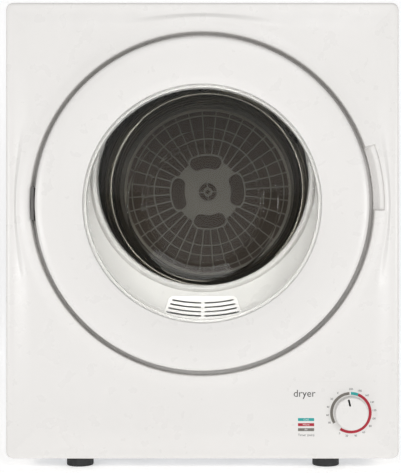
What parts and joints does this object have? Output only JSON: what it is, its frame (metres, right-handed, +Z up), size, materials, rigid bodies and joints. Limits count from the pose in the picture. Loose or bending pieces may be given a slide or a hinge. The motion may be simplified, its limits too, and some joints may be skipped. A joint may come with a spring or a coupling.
{
  "type": "clothes dryer",
  "caption": "Compact front-loading vented tumble dryer: white cabinet, round hinged door with clear bowl window, stainless drum, timer knob and rear exhaust spigot.",
  "frame": {"origin": "centre of the bounding box on the floor, under the cabinet", "axes": "+Z up, +Y from the door towards the rear, +X to the right as seen from the front"},
  "size_m": [0.492, 0.444, 0.583],
  "materials": {
    "white_painted_steel": "satin",
    "galvanised_steel": "matt spangled",
    "white_plastic": "satin gloss",
    "clear_plastic": "clear gloss",
    "stainless_steel": "spun and polished",
    "grey_plastic": "matt",
    "black_plastic": "matt",
    "black_rubber": "matt",
    "felt": "fibrous",
    "mesh": "woven",
    "zinc_steel": "zinc plated",
    "dark_steel": "satin",
    "aluminium_fins": "plain",
    "bronze": "sintered"
  },
  "bodies": {
    "cabinet": {"air_chute": "grey_plastic", "axle_bracket": "galvanised_steel", "axle_fasteners": "zinc_steel", "base_plate": "galvanised_steel", "case_screws": "zinc_steel", "catch_magnet": "black_plastic", "control_fascia": "white_plastic", "cord_grommet": "black_rubber", "door_hinge_bracket": "dark_steel", "door_hinge_pin": "zinc_steel", "door_switch": "black_plastic", "drum_axle": "zinc_steel", "drum_belt": "black_rubber", "exhaust_cover": "grey_plastic", "fan_housing": "grey_plastic", "feet": "black_rubber", "front_bulkhead": "galvanised_steel", "front_felt_seal": "felt", "front_panel": "white_plastic", "heater_box": "galvanised_steel", "heating_element": "aluminium_fins", "idler_spring": "zinc_steel", "inlet_grille": "white_plastic", "left_side_panel": "white_painted_steel", "motor_body": "dark_steel", "motor_bracket": "galvanised_steel", "rear_bulkhead": "galvanised_steel", "rear_duct": "grey_plastic", "rear_felt_seal": "felt", "rear_panel": "white_painted_steel", "right_side_panel": "white_painted_steel", "run_capacitor": "aluminium_fins", "terminal_block": "black_plastic", "thermostats": "black_plastic", "throat_ring": "white_plastic", "timer_body": "zinc_steel", "top_panel": "white_painted_steel"},
    "door": {"door_outer_ring": "white_plastic", "door_inner_ring": "white_plastic", "door_lens": "clear_plastic", "door_gasket": "black_rubber", "door_hinge_leaf": "dark_steel", "door_screws": "zinc_steel", "door_strike_plate": "zinc_steel"},
    "switch_plunger": {"door_switch_plunger": "black_plastic"},
    "knob": {"timer_knob": "white_plastic", "knob_pointer": "black_plastic", "timer_shaft": "zinc_steel"},
    "drum": {"drum_shell": "stainless_steel", "drum_back": "stainless_steel", "drum_lifters": "grey_plastic", "drum_spider": "stainless_steel", "drum_bush": "bronze"},
    "filter": {"filter_cover": "grey_plastic", "filter_screen": "mesh"},
    "rotor": {"motor_shaft": "zinc_steel", "motor_pulley": "black_plastic", "fan_impeller": "black_plastic"},
    "idler": {"idler_arm": "galvanised_steel"},
    "idler_wheel": {"idler_pulley": "black_plastic"}
  },
  "joints": [
    {"name": "door_hinge", "type": "hinge", "parent": "cabinet", "child": "door", "pos_m": [-0.2109, -0.213, 0.331], "axis": [0, 0, -1], "range_deg": [0, 115]},
    {"name": "switch_press", "type": "slide", "parent": "cabinet", "child": "switch_plunger", "axis": [0, -1, 0], "range_m": [0, 0.003]},
    {"name": "timer_turn", "type": "hinge", "parent": "cabinet", "child": "knob", "pos_m": [0.1854, -0.208, 0.0703], "axis": [0, 1, 0], "range_deg": [0, 338]},
    {"name": "drum_spin", "type": "hinge", "parent": "cabinet", "child": "drum", "pos_m": [0, -0.028, 0.364], "axis": [0, 1, 0], "continuous": true},
    {"name": "motor_spin", "type": "hinge", "parent": "cabinet", "child": "rotor", "pos_m": [0.11, 0.062, 0.092], "axis": [0, 1, 0], "continuous": true},
    {"name": "idler_swing", "type": "hinge", "parent": "cabinet", "child": "idler", "pos_m": [0.004, -0.018, 0.06], "axis": [0, 1, 0], "range_deg": [0, 8], "stiffness_Nm_per_rad": 1.5, "springref_deg": -17.19, "deforming": ["idler_spring"]},
    {"name": "idler_wheel_spin", "type": "hinge", "parent": "idler", "child": "idler_wheel", "pos_m": [0.046, -0.023, 0.107], "axis": [0, 1, 0], "continuous": true},
    {"name": "filter_pull", "type": "slide", "parent": "drum", "child": "filter", "axis": [0, -1, 0], "range_m": [0, 0.06]}
  ],
  "couplings": [
    {"joint": "motor_spin", "follows": "drum_spin", "ratio": 20.02},
    {"joint": "idler_wheel_spin", "follows": "drum_spin", "ratio": -14.38},
    {"joint": "switch_press", "follows": "door_hinge", "m_per_rad": 0.001485}
  ]
}
